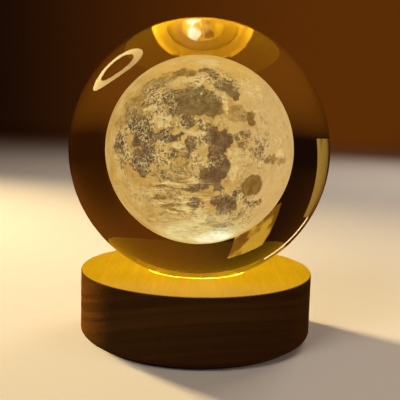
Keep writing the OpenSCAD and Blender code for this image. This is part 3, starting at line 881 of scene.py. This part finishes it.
def room_tone(nodes, toward):
    """The plain room round the lamp: near black on the left, and red-brown on the right."""
    across, _, up = nodes.axes(nodes.vector("NORMALIZE", toward))
    far_right = nodes.mix(nodes.step(up, 0.10, 0.55), ROOM_FAR_RIGHT, ROOM_HIGH_RIGHT)
    right = nodes.mix(nodes.step(across, 0.26, 0.50), ROOM_RIGHT, far_right)
    return nodes.mix(nodes.step(across, -0.35, 0.20), ROOM_LEFT, right)


def direction(azimuth, height):
    """The way to a place round the lamp: degrees right of straight back, and degrees up."""
    a, h = math.radians(azimuth), math.radians(height)
    return Vector((math.sin(a) * math.cos(h), math.cos(a) * math.cos(h), math.sin(h)))


def stage_sheet(name, size, height):
    bpy.ops.object.select_all(action="DESELECT")
    bpy.ops.mesh.primitive_plane_add(size=size, location=(0, 0, 0))
    sheet = bpy.context.object
    sheet.name = name
    sheet.data.transform(Matrix.Translation((0, 0, height)))
    return sheet


def glowing(name, tone_of, strength=1.0):
    """A stage material that only shines, in the tone that tone_of makes from its nodes."""
    material = bpy.data.materials.new(name)
    material.use_nodes = True
    nodes = Nodes(material.node_tree)
    material.node_tree.nodes.remove(material.node_tree.nodes["Principled BSDF"])
    shine = nodes.add("Emission", None, {"Color": tone_of(nodes), "Strength": strength})
    nodes.put(material.node_tree.nodes["Material Output"].inputs["Surface"], shine.outputs[0])
    return material


def only_in_glass(piece):
    """Shows in the ball and on it, and lights nothing."""
    piece.visible_camera = False
    piece.visible_diffuse = False
    piece.visible_shadow = False
    piece.visible_volume_scatter = False


def make_floor():
    """A plain pale floor that fades, far off, into the room's tone: a painted fall-off of the light
    far from the lamp.
    """
    floor = stage_sheet("floor", FLOOR_SIZE, 0.0)
    material, nodes, shader = new_material("floor_paper")
    at = nodes.place()
    low = tuple(0.97 * c for c in FLOOR_TONE)
    finish_of(
        nodes, shader,
        Base_Color=nodes.mix(nodes.noise(at, 30, 3), low, FLOOR_TONE),
        Roughness=0.9, Specular_IOR_Level=0.1,
    )
    falloff_tone = nodes.add("Emission", None, {"Color": room_tone(nodes, at)})
    fade = nodes.add("MixShader", None, {
        0: nodes.step(nodes.vector("LENGTH", at), *FLOOR_FADE),
        1: shader.outputs[0], 2: falloff_tone.outputs[0],
    })
    nodes.put(material.node_tree.nodes["Material Output"].inputs["Surface"], fade.outputs[0])
    dress(floor, material)


def make_painted_shade_sheet():
    """A dark sheet that lies on the floor and shows only in the glass: painted shade, where the
    real floor is pale.
    """
    def tone_of(nodes):
        at = nodes.place()
        away = nodes.step(nodes.vector("LENGTH", at), *SHADE_SHEET_FADE)
        return nodes.mix(away, SHADE_NEAR, room_tone(nodes, at))

    card = stage_sheet("painted_shade_sheet", SHADE_SHEET_SIZE, 0.4 * MM)
    dress(card, glowing("painted_shade_sheet", tone_of))
    only_in_glass(card)


def make_ring_reflection():
    """An oval glowing ring, high behind the lamp's left side, that lights nothing; the ball mirrors
    it as a bright loop, a painted reflection.
    """
    to_ring = direction(*RING_WAY)
    level = Vector((to_ring.y, -to_ring.x, 0)).normalized()
    long_way, short_way = turned(level, level.cross(to_ring), RING_LEAN)
    facing = Matrix((long_way, short_way, long_way.cross(short_way))).transposed().to_4x4()
    place = Matrix.Translation(BALL + RING_DISTANCE * to_ring)
    bpy.ops.object.select_all(action="DESELECT")
    bpy.ops.mesh.primitive_torus_add(
        major_radius=RING_RADIUS, minor_radius=RING_THICK, major_segments=96, minor_segments=12)
    ring = bpy.context.object
    ring.name = "ring_reflection"
    ring.data.transform(place @ facing @ Matrix.Diagonal(RING_STRETCH))
    dress(ring, glowing("ring_reflection", lambda nodes: (*RING_TONE, 1), RING_STRENGTH))
    only_in_glass(ring)
    ring.visible_transmission = False


def make_glass_cards():
    """Warm glowing cards and a thin bright strip behind the lamp, which the ball shows along its
    rim: painted warm light and a painted highlight, seen only through the glass.
    """
    for name, (distance, edge, edge_across, darker, lighter) in GLASS_CARDS.items():
        def tone_of(nodes):
            fold = nodes.noise(nodes.stretched(nodes.place(), (14, 14, 2)), 1.0, 3, 0.6, 0.4)
            return nodes.mix(nodes.step(fold, 0.40, 0.55), darker, lighter)

        bpy.ops.object.select_all(action="DESELECT")
        bpy.ops.mesh.primitive_grid_add(x_subdivisions=len(edge) - 1, y_subdivisions=1)
        card = bpy.context.object
        card.name = name
        for corner, place in zip(card.data.vertices, (*edge, *edge_across)):
            corner.co = BALL + distance * direction(*place)
        dress(card, glowing(name, tone_of))
        only_in_glass(card)
        card.visible_glossy = False


def make_world():
    world = bpy.data.worlds.new("room")
    world.use_nodes = True
    nodes = Nodes(world.node_tree)
    toward = nodes.add("TexCoord").outputs["Generated"]
    nodes.put(world.node_tree.nodes["Background"].inputs["Color"], room_tone(nodes, toward))
    bpy.context.scene.world = world
    bpy.context.scene.view_settings.view_transform = "Standard"


def make_lights():
    for name, (place, size, power, tone, spread) in SOFTBOXES.items():
        data = bpy.data.lights.new(name, "AREA")
        data.shape = "RECTANGLE"
        data.size, data.size_y = size, size
        data.energy = power
        data.color = tone
        data.spread = math.radians(spread)
        lamp = bpy.data.objects.new(name, data)
        lamp.location = place
        toward = SOFTBOX_AIM - Vector(place)
        lamp.rotation_euler = toward.to_track_quat("-Z", "Y").to_euler()
        lamp.visible_glossy = False
        lamp.visible_transmission = False
        bpy.context.scene.collection.objects.link(lamp)


make_camera()
make_floor()
make_painted_shade_sheet()
make_ring_reflection()
make_glass_cards()
make_world()
make_lights()
make_ball()
make_moon()
dress_cad_pieces()
